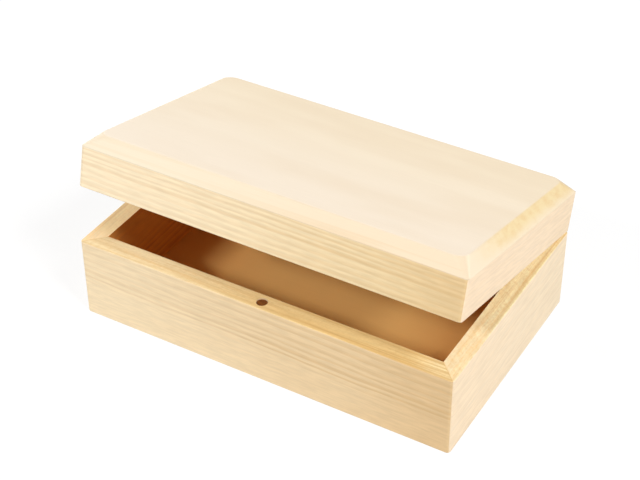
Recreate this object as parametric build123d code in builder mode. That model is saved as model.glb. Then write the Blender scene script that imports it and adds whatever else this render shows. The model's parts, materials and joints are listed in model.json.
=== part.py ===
from build123d import *
from math import radians, tan
import os

# A pine box for papers and keepsakes: a mitred base, and a bevelled lid on two butt hinges, held shut
# by a pair of disc magnets. The lid is drawn where it stands, part of the way open.
# The origin is the middle of the underside. +X runs along the front to the right, +Y goes to the back,
# +Z is up, and every size is in millimetres.

# Box
box_length = 220.0
box_width = 137.0
base_height = 47.6
wall_thickness = 10.7
corner_radius = 2.0
edge_radius = 0.5

# Bottom, a thin panel glued into a rabbet round the foot of the walls
bottom_thickness = 3.0
rabbet_width = 5.0
bottom_gap = 0.15

# Lid, a mitred frame of rails under one solid panel
rail_height = 22.4
panel_edge = 0.4
bevel_height = 6.6
bevel_width = 6.2
panel_corner_radius = 7.0
crease_radius = 1.5
closed_gap = 0.2
lid_open_angle = 13.8

# Catch, one disc magnet in each half
magnet_diameter = 6.0
magnet_thickness = 3.0
magnet_set_back = 0.5
magnet_chamfer = 0.3

# Butt hinges, let into the back of the rims
hinge_from_end = 45.0
hinge_length = 25.0
leaf_width = 8.0
leaf_thickness = 1.0
knuckle_count = 5
knuckle_gap = 0.15
knuckle_wall = 0.85
pin_diameter = 1.8
pin_head_diameter = 2.6
pin_head_thickness = 0.5
back_clearance = 0.25

# Countersunk slotted screws, two to a leaf
screw_length = 8.0
screw_diameter = 1.8
screw_head_diameter = 3.4
screw_head_angle = 90.0
screw_tip_length = 2.0
screw_spacing = 15.0
screw_slot_width = 0.5
screw_slot_depth = 0.4
screw_slot_turn = 35.0

# Clearance of a pin or a screw in its hole, and of a piece in its recess
fit_clearance = 0.05
recess_clearance = 0.15

# Sizes that follow
inner_length = box_length - 2 * wall_thickness
inner_width = box_width - 2 * wall_thickness
panel_thickness = panel_edge + bevel_height
magnet_y = -box_width / 2 + wall_thickness / 2
hinge_x = box_length / 2 - hinge_from_end
bore_radius = pin_diameter / 2 + fit_clearance
knuckle_radius = bore_radius + knuckle_wall
knuckle_length = (hinge_length - (knuckle_count - 1) * knuckle_gap) / knuckle_count
hinge_y = box_width / 2 + knuckle_radius + back_clearance
screw_y = box_width / 2 - leaf_width / 2

# Frames of the two halves. A rim plane lies on the face where one half meets the other and points out of
# the wood, with its own y to the back, so the hinges and the catch are drawn alike in both.
base_plane = Plane.XY
base_rim = Plane.XY.offset(base_height)
pin_point = base_rim.from_local_coords((0, hinge_y, closed_gap / 2))
lid_swing = Location(pin_point, (-lid_open_angle, 0, 0))
lid_plane = Plane(lid_swing * Location((0, -hinge_y, closed_gap / 2)))
lid_rim = Plane(lid_plane.origin, x_dir=-lid_plane.x_dir, z_dir=-lid_plane.z_dir)
panel_plane = lid_plane.offset(rail_height)

# Corners of each board's outer edge, as signs of x and y
board_ends = {
    "front": ((-1, -1), (1, -1)),
    "right": ((1, -1), (1, 1)),
    "back": ((1, 1), (-1, 1)),
    "left": ((-1, 1), (-1, -1)),
}


def keep(piece, name):
    """Labels a finished piece and writes it under its name."""
    piece.part.label = name
    export_step(piece.part, f"parts/{name}.step")


def mitred_board(side, plane, height, soft_top):
    """A board of a four-sided frame that stands on a plane, mitred at both ends, with soft outer edges."""
    up = Axis(plane.origin, plane.z_dir)
    outer = [(x * box_length / 2, y * box_width / 2) for x, y in board_ends[side]]
    inner = [(x * inner_length / 2, y * inner_width / 2) for x, y in reversed(board_ends[side])]
    with BuildPart() as board:
        with BuildSketch(plane):
            Polygon(*outer, *inner, align=None)
            RectangleRounded(box_length, box_width, corner_radius, mode=Mode.INTERSECT)
        extrude(amount=height)
        ends = board.faces().sort_by(up)
        soft_faces = [ends[0], ends[-1]] if soft_top else [ends[0]]
        for face in soft_faces:
            outer_edge = face.edges().sort_by(SortBy.LENGTH)[-1]
            corner_arcs = face.edges().filter_by(GeomType.CIRCLE)
            fillet([outer_edge, *corner_arcs], edge_radius)
    return board


def base_wall(side):
    """A wall of the base, with its share of the rabbet that holds the bottom."""
    with BuildPart() as wall:
        add(mitred_board(side, base_plane, base_height, soft_top=True))
        with BuildSketch(base_plane):
            Rectangle(inner_length + 2 * rabbet_width, inner_width + 2 * rabbet_width)
        extrude(amount=bottom_thickness, mode=Mode.SUBTRACT)
    return wall


def lid_rail(side):
    """A rail of the lid's frame. Its top edge stays sharp where the panel is glued on."""
    return mitred_board(side, lid_plane, rail_height, soft_top=False)


def cut_magnet_hole(rim):
    """Drills the seat of a magnet into the front board of either half."""
    with Locations(rim):
        with Locations((0, magnet_y)):
            Hole(magnet_diameter / 2 + fit_clearance, depth=magnet_thickness + magnet_set_back)


def cut_hinge_seats(rim):
    """Cuts the recesses of both hinge leaves and their screw holes into the back board of either half."""
    with BuildSketch(rim) as seats:
        with Locations((-hinge_x, box_width / 2), (hinge_x, box_width / 2)):
            Rectangle(hinge_length + 2 * recess_clearance, 2 * (leaf_width + recess_clearance))
    extrude(seats.sketch, amount=-leaf_thickness, mode=Mode.SUBTRACT)
    for x in (-hinge_x, hinge_x):
        cut_screw_holes(rim, x, screw_length + recess_clearance)


def screw_places(x):
    """Centres of the two screws of the leaf centred on x, in a rim plane."""
    return [(x - screw_spacing / 2, screw_y), (x + screw_spacing / 2, screw_y)]


def cut_screw_holes(rim, x, depth):
    """Countersinks the screw holes of the leaf centred on x, in the leaf or in the wood behind it."""
    with Locations(rim):
        with Locations(*screw_places(x)):
            CounterSinkHole(
                screw_diameter / 2 + fit_clearance,
                screw_head_diameter / 2 + fit_clearance,
                depth=depth,
                counter_sink_angle=screw_head_angle,
            )


def square_to_pin(rim, x):
    """Plane square to the hinge pins at x, with its origin on their axis and its own y out of the rim."""
    return Plane(rim.from_local_coords((x, hinge_y, closed_gap / 2)), x_dir=rim.y_dir, z_dir=rim.x_dir)


def disc_magnet(rim):
    """A disc magnet, sunk a little below the rim."""
    with BuildPart() as magnet:
        with BuildSketch(rim.offset(-magnet_set_back)):
            with Locations((0, magnet_y)):
                Circle(magnet_diameter / 2)
        extrude(amount=-magnet_thickness)
        chamfer(magnet.edges().filter_by(GeomType.CIRCLE), magnet_chamfer)
    return magnet


def hinge_leaf(rim, x, first_knuckle):
    """A hinge leaf centred on x in a rim plane, with every other knuckle from the first one given."""
    start = x - hinge_length / 2
    with BuildPart() as leaf:
        with BuildSketch(rim):
            with Locations((x, box_width / 2 - leaf_width / 2)):
                Rectangle(hinge_length, leaf_width)
        extrude(amount=-leaf_thickness)
        for number in range(first_knuckle, knuckle_count, 2):
            middle = start + number * (knuckle_length + knuckle_gap) + knuckle_length / 2
            with BuildSketch(square_to_pin(rim, middle)):
                Circle(knuckle_radius)
                with Locations((-(hinge_y - box_width / 2), -closed_gap / 2)):
                    Rectangle(hinge_y - box_width / 2, leaf_thickness, align=(Align.MIN, Align.MAX))
            extrude(amount=knuckle_length / 2, both=True)
        with BuildSketch(square_to_pin(rim, x)):
            Circle(bore_radius)
        extrude(amount=hinge_length, both=True, mode=Mode.SUBTRACT)
        cut_screw_holes(rim, x, 2 * leaf_thickness)
    return leaf


def hinge_pin(x):
    """A hinge pin centred on x, with a peened head at each end."""
    shank_length = hinge_length + 2 * fit_clearance
    with BuildPart() as pin:
        with BuildSketch(square_to_pin(base_rim, x)):
            Circle(pin_diameter / 2)
        extrude(amount=shank_length / 2, both=True)
        for end in (-1, 1):
            with BuildSketch(square_to_pin(base_rim, x + end * shank_length / 2)):
                Circle(pin_head_diameter / 2)
            extrude(amount=end * pin_head_thickness)
        outside = pin.edges().filter_by(GeomType.CIRCLE).sort_by(Axis.X)
        fillet([outside[0], outside[-1]], pin_head_thickness / 2)
    return pin


def hinge_screws(rim):
    """The four screws of one half: slotted heads flush with the leaves, straight shanks and points."""
    places = screw_places(-hinge_x) + screw_places(hinge_x)
    head_radius = screw_head_diameter / 2
    shank_radius = screw_diameter / 2
    head_height = (head_radius - shank_radius) / tan(radians(screw_head_angle / 2))
    profile = (
        (0, 0),
        (head_radius, 0),
        (shank_radius, -head_height),
        (shank_radius, screw_tip_length - screw_length),
        (0, -screw_length),
    )
    with BuildPart() as screws:
        for x, y in places:
            middle = rim.from_local_coords((x, y, 0))
            with BuildSketch(Plane(middle, x_dir=rim.x_dir, z_dir=-rim.y_dir)):
                Polygon(*profile, align=None)
            revolve(axis=Axis(middle, rim.z_dir))
        with BuildSketch(rim):
            for number, place in enumerate(places):
                with Locations(place):
                    Rectangle(screw_head_diameter, screw_slot_width, rotation=number * screw_slot_turn)
        extrude(amount=-screw_slot_depth, mode=Mode.SUBTRACT)
    return screws


os.makedirs("parts", exist_ok=True)

# Walls of the base
with BuildPart() as base_front_wall:
    add(base_wall("front"))
    cut_magnet_hole(base_rim)
keep(base_front_wall, "base_front_wall")

with BuildPart() as base_back_wall:
    add(base_wall("back"))
    cut_hinge_seats(base_rim)
keep(base_back_wall, "base_back_wall")

for side in ("left", "right"):
    keep(base_wall(side), f"base_{side}_wall")

# Bottom of the base
with BuildPart() as bottom_panel:
    with BuildSketch(base_plane):
        Rectangle(
            inner_length + 2 * (rabbet_width - bottom_gap),
            inner_width + 2 * (rabbet_width - bottom_gap),
        )
    extrude(amount=bottom_thickness)
keep(bottom_panel, "bottom_panel")

# Rails of the lid
with BuildPart() as lid_front_rail:
    add(lid_rail("front"))
    cut_magnet_hole(lid_rim)
keep(lid_front_rail, "lid_front_rail")

with BuildPart() as lid_back_rail:
    add(lid_rail("back"))
    cut_hinge_seats(lid_rim)
keep(lid_back_rail, "lid_back_rail")

for side in ("left", "right"):
    keep(lid_rail(side), f"lid_{side}_rail")

# Top of the lid, with a bevel all round above a narrow straight edge
with BuildPart() as lid_top_panel:
    with BuildSketch(panel_plane):
        RectangleRounded(box_length, box_width, corner_radius)
    extrude(amount=panel_edge)
    with BuildSketch(panel_plane.offset(panel_edge)):
        RectangleRounded(box_length, box_width, corner_radius)
    with BuildSketch(panel_plane.offset(panel_thickness)):
        RectangleRounded(box_length - 2 * bevel_width, box_width - 2 * bevel_width, panel_corner_radius)
    loft(ruled=True)
    top_face = lid_top_panel.faces().sort_by(Axis(panel_plane.origin, panel_plane.z_dir))[-1]
    fillet(top_face.edges(), crease_radius)
keep(lid_top_panel, "lid_top_panel")

# Catch
keep(disc_magnet(base_rim), "base_magnet")
keep(disc_magnet(lid_rim), "lid_magnet")

# Hinges. The lid's rim plane is turned over, so in it a hinge's x changes sign, and the knuckles that the
# base leaf leaves free are counted from the other end.
for side, x in (("left", -hinge_x), ("right", hinge_x)):
    keep(hinge_leaf(base_rim, x, first_knuckle=0), f"{side}_hinge_base_leaf")
    keep(hinge_leaf(lid_rim, -x, first_knuckle=knuckle_count % 2), f"{side}_hinge_lid_leaf")
    keep(hinge_pin(x), f"{side}_hinge_pin")
keep(hinge_screws(base_rim), "base_hinge_screws")
keep(hinge_screws(lid_rim), "lid_hinge_screws")
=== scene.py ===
"""Looks of the open wooden box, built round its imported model."""

import json
from math import cos, pi, radians, sin
from typing import NamedTuple

import bpy
from mathutils import Matrix, Vector

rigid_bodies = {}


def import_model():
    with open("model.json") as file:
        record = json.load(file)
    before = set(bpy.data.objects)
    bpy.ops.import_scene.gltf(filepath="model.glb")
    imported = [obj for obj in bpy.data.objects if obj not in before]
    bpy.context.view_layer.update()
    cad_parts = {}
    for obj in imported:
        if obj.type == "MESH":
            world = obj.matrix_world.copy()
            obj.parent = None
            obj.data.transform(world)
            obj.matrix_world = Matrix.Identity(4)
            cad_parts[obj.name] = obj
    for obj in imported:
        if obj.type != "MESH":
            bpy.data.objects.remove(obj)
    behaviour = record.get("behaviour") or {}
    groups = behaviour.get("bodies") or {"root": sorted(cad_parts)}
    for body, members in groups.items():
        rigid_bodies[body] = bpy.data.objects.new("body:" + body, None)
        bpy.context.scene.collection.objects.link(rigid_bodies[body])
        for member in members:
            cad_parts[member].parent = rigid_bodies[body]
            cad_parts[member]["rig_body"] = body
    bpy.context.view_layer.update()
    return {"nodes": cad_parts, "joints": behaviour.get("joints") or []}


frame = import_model()
nodes = frame["nodes"]

# The lid stands open at rest. This is the turn that its boards have made from flat.
hinge = frame["joints"][0]
lid_turn = Matrix.Rotation(-radians(hinge["range_deg"][0]), 3, Vector(hinge["axis"]))
turns = {"base": Matrix.Identity(3), "lid": lid_turn}

MM = 0.001
UP, DOWN = (0, 0, 1), (0, 0, -1)
FRONT, BACK = (0, -1, 0), (0, 1, 0)
LEFT, RIGHT = (-1, 0, 0), (1, 0, 0)


def shade(red, green, blue):
    """A colour written in 0 to 255, as a paint program shows it."""
    parts = [c / 255 for c in (red, green, blue)]
    linear = [c / 12.92 if c <= 0.04045 else ((c + 0.055) / 1.055) ** 2.4 for c in parts]
    return (*linear, 1.0)


def tones(**colours):
    """Named colours, each written in 0 to 255."""
    return {name: shade(*colour) for name, colour in colours.items()}


class Pattern(NamedTuple):
    """A pattern made by noise. cells is how many of its cells lie along a millimetre of x, y and z. edges are
    the values of the noise between which its marks go from nothing to full."""

    cells: tuple
    edges: tuple = (0.0, 1.0)
    detail: float = 2.0
    roughness: float = 0.5


class Nodes:
    """Adds nodes to a tree. Each input is a number, a vector, a colour or another node's socket."""

    def __init__(self, tree):
        self.tree = tree

    def feed(self, socket, value):
        if isinstance(value, bpy.types.NodeSocket):
            self.tree.links.new(value, socket)
        else:
            socket.default_value = value

    def add(self, kind, inputs=(), **settings):
        node = self.tree.nodes.new("ShaderNode" + kind)
        for name, value in settings.items():
            setattr(node, name, value)
        for name, value in dict(inputs).items():
            self.feed(node.inputs[name], value)
        return node

    def math(self, operation, *values):
        node = self.add("Math", operation=operation)
        for socket, value in zip(node.inputs, values):
            self.feed(socket, value)
        return node.outputs[0]

    def times(self, first, second):
        return self.math("MULTIPLY", first, second)

    def times_plus(self, value, factor, more):
        return self.math("MULTIPLY_ADD", value, factor, more)

    def vector(self, operation, first, second):
        return self.add("VectorMath", {0: first, 1: second}, operation=operation).outputs[0]

    def combined(self, x, y, z):
        return self.add("CombineXYZ", {0: x, 1: y, 2: z}).outputs[0]

    def length(self, vector):
        return self.add("VectorMath", {0: vector}, operation="LENGTH").outputs["Value"]

    def noise(self, place, pattern):
        place = self.vector("MULTIPLY", place, pattern.cells)
        inputs = {"Vector": place, "Scale": 1.0, "Detail": pattern.detail, "Roughness": pattern.roughness}
        return self.add("TexNoise", inputs).outputs[0]

    def marks(self, place, pattern, to_low=0.0, to_high=1.0):
        """A pattern's marks: to_high in them, and to_low between them."""
        return self.span(self.noise(place, pattern), *pattern.edges, to_low, to_high)

    def span(self, value, low, high, to_low=0.0, to_high=1.0):
        """A soft step: to_low below low, to_high above high."""
        inputs = {0: value, 1: low, 2: high, 3: to_low, 4: to_high}
        return self.add("MapRange", inputs, interpolation_type="SMOOTHSTEP").outputs[0]

    def mix(self, share, first, second, blend="MIX"):
        inputs = {0: share, 6: first, 7: second}
        return self.add("Mix", inputs, data_type="RGBA", blend_type=blend).outputs[2]

    def dimmed(self, colour, amount):
        """A colour made darker where amount is below 1, and paler where it is above."""
        grey = self.add("CombineColor", {0: amount, 1: amount, 2: amount}).outputs[0]
        return self.mix(1.0, colour, grey, "MULTIPLY")

    def metres(self):
        """The place in the object."""
        return self.add("TexCoord").outputs["Object"]

    def millimetres(self):
        """The place in the object, in millimetres."""
        return self.vector("MULTIPLY", self.metres(), (1 / MM,) * 3)

    def toward(self, direction):
        """How squarely a surface faces a direction in the frame: 1 straight at it, 0 along it."""
        inputs = {0: self.add("TexCoord").outputs["Normal"], 1: direction}
        return self.add("VectorMath", inputs, operation="DOT_PRODUCT").outputs["Value"]

    def seen_directly(self):
        """1 where the camera, a reflection or a refraction looks, and 0 where light falls."""
        seen = self.add("LightPath").outputs
        shown = self.math("MAXIMUM", seen["Is Camera Ray"], seen["Is Glossy Ray"])
        return self.math("MAXIMUM", shown, seen["Is Transmission Ray"])


class Finish(Nodes):
    """A new material and its shader."""

    def __init__(self, name):
        self.material = bpy.data.materials.new(name)
        self.material.use_nodes = True
        super().__init__(self.material.node_tree)
        self.shader = self.tree.nodes["Principled BSDF"]

    def set(self, name, value):
        self.feed(self.shader.inputs[name], value)

    def set_bump(self, height, strength, depth):
        inputs = {"Strength": strength, "Distance": depth * MM, "Height": height}
        self.set("Normal", self.add("Bump", inputs).outputs[0])

    def dress(self, name):
        """Gives one CAD node this material."""
        slots = nodes[name].data.materials
        slots.clear()
        slots.append(self.material)


# Patterns in the wood
WANDER = Pattern((0.009, 0.02, 0.02), detail=1.0)
WOBBLE = Pattern((0.035, 0.12, 0.12))
FIBRES = Pattern((0.05, 2.6, 2.6), (0.25, 0.75), 3.0, 0.65)
CLOUDS = Pattern((0.011, 0.035, 0.035), (0.35, 0.65))
FLECKS = Pattern((0.16, 1.9, 1.9), (0.68, 0.80), 1.0)
STREAKS = Pattern((0.10, 0.70, 0.70), (0.3, 0.7))
SPECKS = Pattern((0.45, 1.3, 1.3), (0.40, 0.72), 3.0, 0.7)
SAW_MARKS = Pattern((0.40, 0.12, 1.0), (0.40, 0.66), roughness=0.6)
RIM_STRIPES = Pattern((0.009, 0.1, 0.55), (0.42, 0.60))
BEVEL_STRIPES = Pattern((0.007, 0.45, 0.45), (0.50, 0.64))
PORES = Pattern((0.2, 0.16, 0.35), (0.35, 0.70), 4.0, 0.55)

# Patterns in the metal
TARNISH = Pattern((0.3, 0.3, 0.3), (0.42, 0.68), 4.0, 0.6)
BRUSHED = Pattern((0.25, 6.0, 6.0))
STAINS = Pattern((0.7, 0.7, 0.7), (0.35, 0.7), 3.0, 0.6)
PITS = Pattern((1.0, 1.0, 1.0), detail=3.0)

# The parts of a year's ring over which its late wood comes on slowly, and ends sharply
LATE_COMES = (0.05, 0.72)
LATE_ENDS = (0.74, 1.0)
# How dark the late wood of the weakest year is, against the strongest
WEAKEST_YEAR = 0.4
# How far a ring wobbles, in millimetres, how much the years differ in width, and how soon that changes
RING_WOBBLE = 1.2
YEARS_DIFFER = 1.1
CHANGES_PER_YEAR = 0.31
# The value that a noise swings about
NOISE_MIDDLE = 0.5


class Rings(NamedTuple):
    """How a board was cut from its trunk, in millimetres."""

    # The pith's place up the board and out of its show face, from the board's middle
    pith: tuple
    width: float
    # How far the rings lean for each millimetre along the board
    slant: float
    # Moves every pattern, so that no two boards are alike
    seed: float
    # How far the rings stray
    wander: float = 4.0


def grain_group():
    """The figure of sawn pine, from a place in the board in millimetres, x along the grain."""
    tree = bpy.data.node_groups.new("pine_grain", "ShaderNodeTree")
    for name, kind in (
        ("Place", "Vector"),
        ("Pith", "Vector"),
        ("Ring width", "Float"),
        ("Slant", "Float"),
        ("Wander", "Float"),
        ("Seed", "Float"),
    ):
        tree.interface.new_socket(name, in_out="INPUT", socket_type="NodeSocket" + kind)
    for name in ("Late wood", "Fibre", "Cloud", "Fleck"):
        tree.interface.new_socket(name, in_out="OUTPUT", socket_type="NodeSocketFloat")
    given = tree.nodes.new("NodeGroupInput").outputs
    result = tree.nodes.new("NodeGroupOutput").inputs
    kit = Nodes(tree)
    seed = given["Seed"]
    place = kit.vector("ADD", given["Place"], kit.combined(seed, seed, seed))

    # The rings lean a little along the board, and wander as the trunk did.
    x, y, z = kit.add("SeparateXYZ", {0: given["Place"]}).outputs
    pith_y, pith_z = kit.add("SeparateXYZ", {0: given["Pith"]}).outputs[1:]
    leaning = kit.math("ADD", y, kit.times(x, given["Slant"]))
    across = kit.math("SUBTRACT", leaning, pith_y)
    deep = kit.math("SUBTRACT", z, pith_z)
    wander = kit.math("SUBTRACT", kit.noise(place, WANDER), NOISE_MIDDLE)
    wobble = kit.math("SUBTRACT", kit.noise(place, WOBBLE), NOISE_MIDDLE)
    radius = kit.length(kit.combined(0.0, across, deep))
    radius = kit.times_plus(wander, given["Wander"], radius)
    radius = kit.times_plus(wobble, RING_WOBBLE, radius)

    # Good and lean years: the rings differ in width and in how dark they end.
    years = kit.math("DIVIDE", radius, given["Ring width"])
    change = {"W": kit.times(years, CHANGES_PER_YEAR), "Scale": 1.0, "Detail": 2.0}
    slow = kit.add("TexNoise", change, noise_dimensions="1D").outputs[0]
    years = kit.times_plus(slow, YEARS_DIFFER, years)
    part = kit.math("FRACT", years)
    year = {"W": kit.math("FLOOR", years)}
    strong = kit.add("TexWhiteNoise", year, noise_dimensions="1D").outputs[0]
    strong = kit.times_plus(strong, 1 - WEAKEST_YEAR, WEAKEST_YEAR)
    late = kit.times(kit.span(part, *LATE_COMES), kit.span(part, *LATE_ENDS, 1.0, 0.0))

    kit.feed(result["Late wood"], kit.times(late, strong))
    kit.feed(result["Fibre"], kit.noise(place, FIBRES))
    kit.feed(result["Cloud"], kit.noise(place, CLOUDS))
    kit.feed(result["Fleck"], kit.marks(place, FLECKS))
    return tree


grain = grain_group()


def board_axes(name, up, outward):
    """The middle, turn and size of a board, with x along its grain and z out of its show face."""
    turn = turns[nodes[name]["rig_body"]]
    y, z = turn @ Vector(up), turn @ Vector(outward)
    rows = Matrix((y.cross(z), y, z))
    points = [rows @ v.co for v in nodes[name].data.vertices]
    low = Vector([min(p[i] for p in points) for i in range(3)])
    high = Vector([max(p[i] for p in points) for i in range(3)])
    back = rows.transposed()
    return back @ ((low + high) / 2), back.to_euler(), (high - low) / MM


# Bare sanded wood: its roughness, what the fibres and the late wood add to that, and how much it shines
WOOD_ROUGHNESS = 0.50
FIBRE_ROUGHNESS = 0.25
LATE_ROUGHNESS = -0.08
WOOD_SHINE = 0.3
# How proud the late wood and the fibres stand, as shares of the relief, and the relief in millimetres
LATE_HEIGHT = 0.5
FIBRE_HEIGHT = 0.6
WOOD_RELIEF = 0.04


class Board(Finish):
    """The wood of one board. x, y and z are the place in it, in millimetres from its middle: along the grain,
    up and out of its show face. A panel's y runs from its front to its back."""

    def __init__(self, name, ending, up, outward, rings):
        super().__init__(name + ending)
        self.name = name
        self.body_turn = turns[nodes[name]["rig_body"]]
        middle, turn, (self.long, self.high, self.thick) = board_axes(name, up, outward)
        inputs = {"Vector": self.metres(), "Location": middle, "Rotation": turn, "Scale": (MM, MM, MM)}
        self.place = self.add("Mapping", inputs, vector_type="TEXTURE").outputs[0]
        self.x, self.y, self.z = self.add("SeparateXYZ", {0: self.place}).outputs
        inputs = {"Place": self.place, "Pith": (0.0, *rings.pith), "Ring width": rings.width,
                  "Slant": rings.slant, "Wander": rings.wander, "Seed": rings.seed}
        self.late, self.fibre, self.cloud, self.fleck = self.add("Group", inputs, node_tree=grain).outputs
        # From 0 at the board's left end, as its show face is seen, to 1 at its right end
        self.along = self.lengthwise(0.0, 1.0)

    def lengthwise(self, start, end, to_low=0.0, to_high=1.0):
        """A soft step between two shares of the board's length."""
        return self.span(self.x, (start - 0.5) * self.long, (end - 0.5) * self.long, to_low, to_high)

    def upward(self, start, end, to_low=0.0, to_high=1.0):
        """A soft step between two shares of the board's height."""
        return self.span(self.y, (start - 0.5) * self.high, (end - 0.5) * self.high, to_low, to_high)

    def turned(self, direction):
        """A direction in the shut box, turned with the board's own half of it."""
        return self.body_turn @ Vector(direction)

    def facing(self, direction, low, high):
        """A soft step from 0 to 1 by how squarely the surface faces a direction in the shut box."""
        return self.span(self.toward(self.turned(direction)), low, high)

    def grounded(self, share, look):
        """The early wood, clouded, from pale to far by a share."""
        clouds = self.span(self.cloud, *CLOUDS.edges, to_high=look["clouds"])
        return self.mix(clouds, self.mix(share, look["pale"], look["far"]), look["dark"])

    def fibred(self, colour, tone, flecks, dark):
        """A colour with the fibres' pale and dark tones in it, and with dark flecks."""
        return self.mix(self.times(self.fleck, flecks), self.dimmed(colour, tone), dark)

    def finish(self, colour):
        """Joins up the colour, the sheen and the feel of bare sanded wood. The late wood is smoother, and
        stands a little proud."""
        self.set("Base Color", colour)
        rough = self.times_plus(self.fibre, FIBRE_ROUGHNESS, WOOD_ROUGHNESS)
        self.set("Roughness", self.times_plus(self.late, LATE_ROUGHNESS, rough))
        self.set("Specular IOR Level", WOOD_SHINE)
        height = self.times_plus(self.late, LATE_HEIGHT, self.times(self.fibre, FIBRE_HEIGHT))
        self.set_bump(height, strength=0.4, depth=WOOD_RELIEF)
        self.dress(self.name)


# Shares of the length over which a change comes, from a board's left end, as its show face is seen
END_TONE_COMES = (0.72, 1.0)
RIM_END_COMES = (0.87, 0.96)
# Values of along over which lines and stripes come
LINES_COME = (0.0, 0.8)
RIM_STRIPES_COME = (0.2, 0.8)
BEVEL_STRIPES_COME = (0.3, 0.9)
# Shares of a wall's height over which the lines inside it fade
INNER_LINES_FADE = (0.15, 0.70)

# How much of a wall's lines is left below its band, and how dark such a wall is at the least
LINES_BELOW_BAND = 0.12
DARK_AT_LEAST = 0.07
# How far the saw leaned, in millimetres along the rim for each millimetre across it
SAW_SLANT = 0.7
# How much of the late wood's lines shows on the rim, and on a panel's hidden face
LINES_ON_RIM = 0.25
LINES_ON_HIDDEN_FACE = 0.35
# How much of the dark flecks and of the glue shows
FLECKS_IN_WALL = 0.16
FLECKS_IN_PANEL = 0.10
GLUE_SHOWS = 0.25

# How squarely a surface faces a way, from where it starts to be the rim or the inner face to where it is
RIM_FACING = (0.35, 0.8)
INNER_FACING = (0.55, 0.9)
# How squarely it faces the show side, from the hidden face, which faces away, to all the others
NOT_HIDDEN = (-0.3, -0.05)
# The slope of a panel's surface, from the flat to a bevel. Over it the bevels' painted shade comes in, set so
# that the light looks even across the rounded crease.
BEVEL_SLOPE = (radians(-6), radians(44))
# How far sideways a bevel leans, from 0 for a long one to 1 for a short one: over which values it becomes a
# short one, and over which the painted shade of the corner comes and goes
SHORT_BEVEL = (0.75, 1.0)
CORNER_COMES = (0.1, 0.5)
CORNER_GOES = (0.8, 0.98)
# Keeps the division from running away on the flat
LEAST_LEANING = 0.02


def show_face(board, look, band):
    """Pale early wood that warms a little along the board, and darker late wood."""
    dark, lines = look["dark"], look["lines"]
    ground = board.grounded(board.along, look)
    end_tone = board.lengthwise(*END_TONE_COMES, to_high=look["end_tone"])
    ground = board.mix(end_tone, ground, dark)
    share = board.times(board.late, board.span(board.along, *LINES_COME, lines * look["left"], lines))
    if band:
        share = board.times(share, board.span(board.y, *band, to_low=LINES_BELOW_BAND))
        share = board.math("MAXIMUM", share, DARK_AT_LEAST)
    return board.mix(share, ground, dark)


def rim_face(board, look):
    """The rim, planed across the edge of the boards: golden, with fine specks, saw marks and stripes."""
    dark = look["rim_dark"]
    rim = board.mix(board.span(board.along, *look["turns"]), look["rim"], look["rim_far"])
    rim = board.mix(board.lengthwise(*RIM_END_COMES), rim, look["rim_end"])
    rim = board.mix(board.marks(board.place, SPECKS, to_high=look["specks"]), rim, dark)

    # The saw went over the rim askew.
    askew = board.times_plus(board.z, SAW_SLANT, board.x)
    saw_place = board.combined(askew, board.z, 0.0)
    rim = board.mix(board.marks(saw_place, SAW_MARKS, to_high=look["sawn"]), rim, dark)

    # The stripes show more towards the right end. The rings show only faintly.
    stripes = board.marks(board.place, RIM_STRIPES)
    stripes = board.times(stripes, board.span(board.along, *RIM_STRIPES_COME, to_low=0.3, to_high=0.6))
    rim = board.mix(stripes, rim, dark)
    return board.mix(board.times(board.late, LINES_ON_RIM), rim, dark)


def inner_face(board, look):
    """The inner face, with its lines showing most low down."""
    lines = board.upward(*INNER_LINES_FADE, to_low=0.75, to_high=0.15)
    return board.mix(board.times(board.late, lines), look["inside"], look["inside_dark"])


def glue_line(board):
    """1 along the hair of glue where the mitred ends meet on the rim. It fades out before the show face."""
    mitre = (board.long - board.thick) / 2
    glue_starts, glue_full = mitre - 0.3, mitre - 0.02
    fade_starts, fade_ends = board.thick / 2 - 1.2, board.thick / 2 - 0.3
    reach = board.math("SUBTRACT", board.math("ABSOLUTE", board.x), board.z)
    fade = board.span(board.z, fade_starts, fade_ends, to_low=1.0, to_high=0.0)
    return board.times(board.span(reach, glue_starts, glue_full), fade)


def pine(name, outward, look, rings, band=None):
    """Sawn and sanded pine for one upright board. band is where its lines fade out, going down: two heights
    in millimetres above its middle."""
    board = Board(name, "_pine", UP, outward, rings)
    rim_way = UP if nodes[name]["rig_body"] == "base" else DOWN
    colour = show_face(board, look, band)
    colour = board.mix(board.facing(rim_way, *RIM_FACING), colour, rim_face(board, look))
    colour = board.mix(board.facing(-Vector(outward), *INNER_FACING), colour, inner_face(board, look))
    fibres = board.span(board.fibre, *FIBRES.edges, to_low=0.965, to_high=1.03)
    streaks = board.marks(board.place, STREAKS, to_low=0.955, to_high=1.04)
    colour = board.fibred(colour, board.times(fibres, streaks), FLECKS_IN_WALL, look["dark"])
    colour = board.mix(board.times(glue_line(board), GLUE_SHOWS), colour, look["rim_dark"])
    board.finish(colour)


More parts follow.
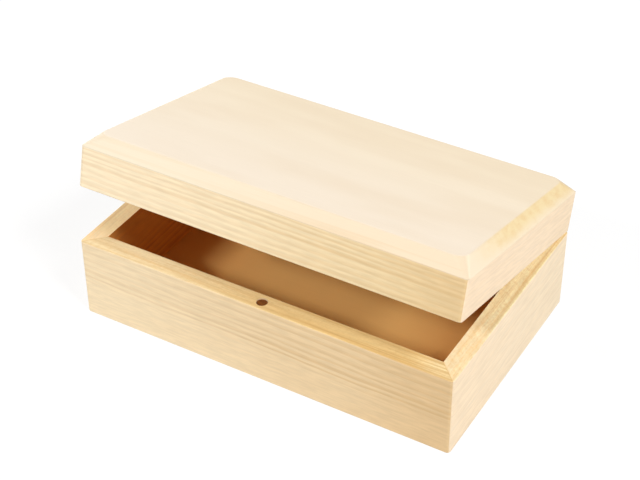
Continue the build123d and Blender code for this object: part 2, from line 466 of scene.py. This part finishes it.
def bevels(board, outward, look, ground):
    """The bevels round a panel's show face, and the slope of its surface in radians."""
    # The long ones, planed across the panel's edge, show a few lines. The front one's colours
    # are painted shade, darker than the flat, against the more light that falls on it. The back one has the
    # ground's colour.
    bevel = board.mix(board.along, look["bevel"], look["bevel_far"])
    back_half = board.span(board.y, -10.0, 10.0)
    bevel = board.mix(back_half, bevel, ground)
    stripes = board.marks(board.place, BEVEL_STRIPES)
    stripes = board.times(stripes, board.span(board.along, *BEVEL_STRIPES_COME, to_low=0.3))
    bevel = board.mix(board.times(stripes, look["bevel_lines"]), bevel, look["dark"])

    # The short ones cut the grain's ends: yellower and mottled, most of all near the top and to the back.
    front = -board.high / 2
    backward = board.span(board.y, front + 8, front + 60)
    near_top = board.span(board.z, -board.thick / 2, 1.0, to_low=0.1)
    yellow = board.times(backward, near_top)
    pores = board.marks(board.place, PORES, to_high=look["mottle"])
    ends = board.mix(yellow, look["end"], look["end_far"])
    ends = board.mix(board.times(yellow, pores), ends, look["end_dark"])

    # The way that a bevel leans tells a short one from a long one, and both from the corner between them.
    slope = board.math("ARCCOSINE", board.toward(board.turned(outward)))
    leaning = board.math("MAXIMUM", board.math("SINE", slope), LEAST_LEANING)
    # The lid turns about this direction, so it is the same for the lid and the base.
    sideways = board.math("DIVIDE", board.math("ABSOLUTE", board.toward(RIGHT)), leaning)
    bevel = board.mix(board.span(sideways, *SHORT_BEVEL), bevel, ends)
    # Painted shade on the rounded corner between a long and a short bevel, which the lamps light brightly.
    corner = board.span(sideways, *CORNER_GOES, to_low=1.0, to_high=0.0)
    corner = board.times(board.span(sideways, *CORNER_COMES), corner)
    bevel = board.mix(board.times(corner, look["corner"]), bevel, look["dark"])
    return bevel, slope


def panel(name, outward, look, rings):
    """A broad panel with its grain along x: a show face with bevels round it, and a hidden face."""
    board = Board(name, "_wood", BACK, outward, rings)
    ground = board.grounded(board.upward(0.0, 1.0), look)
    colour = board.mix(board.times(board.late, look["lines"]), ground, look["dark"])

    # A bevel slopes, and the flat doesn't. The hidden face is left out by the way that it faces.
    bevel, slope = bevels(board, outward, look, ground)
    sloped = board.times(board.span(slope, *BEVEL_SLOPE), board.facing(outward, *NOT_HIDDEN))
    colour = board.mix(sloped, colour, bevel)

    # The hidden face, which is warmer near its ends than in its middle. On the bottom panel this is painted
    # shade, darker and redder by the walls of the nearly shut box.
    near_ends = board.span(board.math("ABSOLUTE", board.x), 25.0, 105.0)
    hidden = board.mix(near_ends, look["inside"], look["inside_edge"])
    hidden = board.mix(board.times(board.late, LINES_ON_HIDDEN_FACE), hidden, look["inside_dark"])
    colour = board.mix(board.facing(-Vector(outward), *INNER_FACING), colour, hidden)
    fibres = board.span(board.fibre, *FIBRES.edges, to_low=0.98, to_high=1.015)
    board.finish(board.fibred(colour, fibres, FLECKS_IN_PANEL, look["dark"]))


# A look is a board's colours, and how strongly its marks show, from 0 to 1.
# Show face: pale and far are the early wood at the left and the right end, or at a panel's front and back.
# dark is the late wood, lines how much of it shows, and left how much of that shows at the left end. clouds
# and end_tone are how much of dark goes into the early wood, here and there and at the right end.
# Rim: it goes from rim to rim_far between the two values of along in turns, and ends in rim_end. Its lines,
# specks and saw marks take rim_dark. On the base's side walls these tones are painted light
# and shade, against the lid's shadow.
# Bevels: bevel and bevel_far are the long ones, at the left and the right, and bevel_lines their lines. They
# are painted shade, darker than the flat, against the more light that falls on the front bevel. end and
# end_far are the short ones, at the front and the back, end_dark is the colour of their mottle, and mottle
# how much of it shows. corner is the painted shade at the corner between a long and a short one, where the
# lamps light it brightly.
# Inside: inside, inside_edge for a panel near its ends, and inside_dark for the lines. In the base they
# carry painted shade: warmer and darker than the show faces, as in the shade of the nearly shut box.
# The base walls' inner faces: painted shade, the warm dark orange of the inside of the nearly shut box.
painted_shade_inside = tones(inside=(240, 188, 122), inside_dark=(212, 146, 82))
lid_inside = tones(inside=(243, 206, 150), inside_edge=(242, 196, 134), inside_dark=(226, 182, 122))
front_rim = {
    **tones(rim=(228, 207, 163), rim_far=(226, 196, 137), rim_end=(239, 218, 169), rim_dark=(196, 155, 92)),
    "turns": (0.0, 0.8), "specks": 0.28, "sawn": 0.10,
}
# On the base's right rim, the turn from rim to the paler rim_far is painted light: the rim grows paler
# towards the back, where the lid shades it from the key lamp.
side_rim = {
    **tones(rim=(237, 220, 182), rim_far=(255, 242, 197), rim_end=(255, 242, 197), rim_dark=(224, 182, 118)),
    "turns": (0.12, 0.42), "specks": 0.45, "sawn": 0.26,
}
base_front = {
    **tones(pale=(246, 225, 188), far=(235, 207, 163), dark=(207, 167, 112)), **front_rim, **painted_shade_inside,
    "lines": 0.76, "left": 0.55, "clouds": 0.10, "end_tone": 0.30,
}
# The lid's front rail is painted darker than the base's front wall: painted shade, against the more light
# that falls on its upturned face.
lid_front = {
    **tones(pale=(240, 222, 190), far=(226, 203, 159), dark=(206, 169, 116)), **front_rim, **lid_inside,
    "lines": 0.56, "left": 0.70, "clouds": 0.10, "end_tone": 0.36,
}
base_side = {
    **tones(pale=(249, 227, 196), far=(248, 229, 199), dark=(232, 200, 154)), **side_rim, **painted_shade_inside,
    "lines": 0.20, "left": 1.0, "clouds": 0.10, "end_tone": 0.0,
}
# The left wall's inner face is painted shade, redder and darker than the others', as it faces away from the
# key lamp. Its rim is painted light, with paler tones and specks where the lid shades it, and painted shade
# at its front end, darker where the key lamp lights it.
left_side = {
    **base_side, **tones(rim_far=(252, 226, 172), rim_end=(228, 206, 166), rim_dark=(238, 198, 140)),
    **tones(inside=(238, 164, 82), inside_dark=(202, 116, 46)), "turns": (0.0, 1.0),
}
lid_side = {**base_side, **tones(pale=(248, 224, 194), far=(247, 224, 193)), **lid_inside}
top = {
    **tones(pale=(235, 221, 202), far=(235, 219, 192), dark=(219, 196, 164)), **lid_inside,
    **tones(end=(242, 224, 196), end_far=(238, 216, 169), end_dark=(232, 202, 150)),
    **tones(bevel=(223, 210, 186), bevel_far=(220, 202, 174)),
    "lines": 0.14, "clouds": 0.22, "mottle": 0.8, "corner": 0.5, "bevel_lines": 0.9,
}
# The bottom panel's inner face is a warm brown: partly the panel's own wood, partly painted shade of the
# nearly shut box.
bottom = {
    **tones(pale=(232, 200, 150), far=(232, 200, 150), dark=(206, 164, 110)),
    **tones(inside=(234, 188, 116), inside_edge=(234, 170, 96), inside_dark=(228, 176, 104)),
    **tones(end=(214, 170, 116), end_far=(214, 170, 116), end_dark=(178, 132, 82)),
    **tones(bevel=(222, 186, 132), bevel_far=(222, 186, 132)),
    "lines": 0.3, "clouds": 0.3, "mottle": 0.9, "corner": 0.0, "bevel_lines": 0.3,
}

pine("base_front_wall", FRONT, base_front, Rings((150, -60), 3.8, 0.012, 11.0), band=(-14, 7))
pine("base_back_wall", BACK, base_front, Rings((-130, -50), 4.0, -0.015, 47.0))
pine("base_left_wall", LEFT, left_side, Rings((120, -70), 3.8, 0.02, 83.0))
pine("base_right_wall", RIGHT, base_side, Rings((100, -90), 4.4, -0.02, 131.0))
pine("lid_front_rail", FRONT, lid_front, Rings((150, -40), 3.1, 0.006, 170.0, wander=3.0))
pine("lid_back_rail", BACK, lid_front, Rings((-110, -40), 3.4, 0.02, 211.0))
pine("lid_left_rail", LEFT, lid_side, Rings((120, -50), 3.8, -0.02, 257.0))
pine("lid_right_rail", RIGHT, lid_side, Rings((115, -60), 4.0, -0.03, 307.0))
panel("lid_top_panel", UP, top, Rings((-60, -220), 7.5, 0.02, 353.0, wander=8.0))
panel("bottom_panel", DOWN, bottom, Rings((20, -260), 7.0, 0.03, 401.0, wander=8.0))


# How rough polished brass is, and what the brushing and the tarnish add to that
BRASS_ROUGHNESS = 0.30
BRUSHED_ROUGHNESS = 0.2
TARNISH_ROUGHNESS = 0.2
# How rough the magnets are, and what their darker blotches add to that
FERRITE_ROUGHNESS = 0.35
STAIN_ROUGHNESS = 0.25


def brass(name, colour, seed):
    """Satin brass, brushed along x and a little tarnished. seed moves its pattern."""
    metal = Finish(name)
    place = metal.vector("ADD", metal.millimetres(), (seed,) * 3)
    tarnish = metal.marks(place, TARNISH)
    brushed = metal.noise(place, BRUSHED)
    metal.set("Base Color", metal.mix(tarnish, colour, shade(172, 130, 74)))
    metal.set("Metallic", 1.0)
    rough = metal.times_plus(brushed, BRUSHED_ROUGHNESS, BRASS_ROUGHNESS)
    metal.set("Roughness", metal.times_plus(tarnish, TARNISH_ROUGHNESS, rough))
    metal.set_bump(brushed, strength=0.25, depth=0.02)
    return metal


def ferrite(name):
    """A dull brown magnet with darker blotches, finely pitted. Its brown is painted shade and painted
    reflection:
    the shade of the recess it sits in, and the wood round it that it mirrors.
    """
    metal = Finish(name)
    place = metal.millimetres()
    stain = metal.marks(place, STAINS)
    # Painted shade and painted reflection: the brown of its shadowed recess and of the mirrored wood.
    metal.set("Base Color", metal.mix(stain, shade(126, 74, 28), shade(98, 52, 16)))
    metal.set("Metallic", 0.2)
    metal.set("Roughness", metal.times_plus(stain, STAIN_ROUGHNESS, FERRITE_ROUGHNESS))
    metal.set_bump(metal.noise(place, PITS), strength=0.3, depth=0.03)
    return metal


leaf_brass = brass("hinge_brass_satin", shade(216, 176, 98), 0.0)
pin_brass = brass("pin_brass_satin", shade(204, 164, 92), 17.0)
screw_brass = brass("screw_brass_bright", shade(226, 188, 110), 31.0)
magnet = ferrite("magnet_ferrite_painted_shade")
for side in ("left", "right"):
    leaf_brass.dress(f"{side}_hinge_base_leaf")
    leaf_brass.dress(f"{side}_hinge_lid_leaf")
    pin_brass.dress(f"{side}_hinge_pin")
for body in ("base", "lid"):
    screw_brass.dress(f"{body}_hinge_screws")
    magnet.dress(f"{body}_magnet")


def floor(reach):
    """A wide white table. It shows paler than it lights the box, and keeps the box's shadow. Far off, where
    the lamps don't reach, it shows as white as near the box."""
    mesh = bpy.data.meshes.new("floor")
    corners = [(-reach, -reach, 0), (reach, -reach, 0), (reach, reach, 0), (-reach, reach, 0)]
    mesh.from_pydata(corners, [], [(0, 1, 2, 3)])
    ground = bpy.data.objects.new("floor", mesh)
    bpy.context.scene.collection.objects.link(ground)
    white = Finish("floor_white")
    shown = white.seen_directly()
    lighting, showing = shade(200, 200, 200), shade(132, 132, 132)
    white.set("Base Color", white.mix(shown, lighting, showing))
    # How much it glows by itself, near the box and far off, in metres from the box's middle
    near, far = 0.4, 1.2
    glow = white.span(white.length(white.metres()), near, far, to_low=0.78, to_high=1.0)
    white.set("Emission Color", (1, 1, 1, 1))
    white.set("Emission Strength", white.times(shown, glow))
    white.set("Roughness", 0.9)
    white.set("Specular IOR Level", 0.0)
    mesh.materials.append(white.material)


def lamp(name, azimuth, elevation, distance, width, height, level):
    """A soft lamp. azimuth is 0 at the front and 90 at the right. level is the brightness that it gives a
    surface in the middle of the box that faces it."""
    data = bpy.data.lights.new(name, "AREA")
    data.shape = "RECTANGLE"
    data.size = width
    data.size_y = height
    turned, raised = radians(azimuth), radians(elevation)
    away = Vector((sin(turned) * cos(raised), -cos(turned) * cos(raised), sin(raised)))
    # A small lamp of power P puts P / (pi d d) on a surface that faces it, and pi of that is a level of 1.
    data.energy = level * (pi * distance) ** 2
    made = bpy.data.objects.new(name, data)
    box_middle = Vector((0, 0, 0.05))
    made.location = box_middle + away * distance
    made.rotation_euler = away.to_track_quat("Z", "Y").to_euler()
    bpy.context.scene.collection.objects.link(made)


def sky(lit, shown):
    """A white world, shown at one strength and lighting the box at another."""
    world = bpy.data.worlds.new("studio")
    bpy.context.scene.world = world
    world.use_nodes = True
    kit = Nodes(world.node_tree)
    light = world.node_tree.nodes["Background"].inputs
    kit.feed(light["Color"], (1, 1, 1, 1))
    kit.feed(light["Strength"], kit.span(kit.seen_directly(), 0.0, 1.0, lit, shown))


def camera(place, angles, lens):
    """The photograph's camera, as it was fitted to the box's edges."""
    data = bpy.data.cameras.new("camera")
    data.sensor_width = 36
    data.lens = lens
    data.clip_start = 0.01
    made = bpy.data.objects.new("camera", data)
    made.location = place
    made.rotation_euler = [radians(angle) for angle in angles]
    bpy.context.scene.collection.objects.link(made)
    bpy.context.scene.camera = made


floor(reach=8.0)
lamp("key_lamp", azimuth=-31.7, elevation=36.9, distance=2.2, width=0.7, height=0.1, level=0.58)
lamp("right_lamp", azimuth=75, elevation=46, distance=2.4, width=0.9, height=0.9, level=0.88)
lamp("back_lamp", azimuth=238, elevation=15, distance=2.4, width=1.0, height=0.7, level=0.40)
sky(lit=0.2, shown=1.0)
camera(place=(0.33837, -0.58262, 0.55988), angles=(52.616, 0.162, 30.249), lens=89.858)
bpy.context.scene.view_settings.view_transform = "Standard"
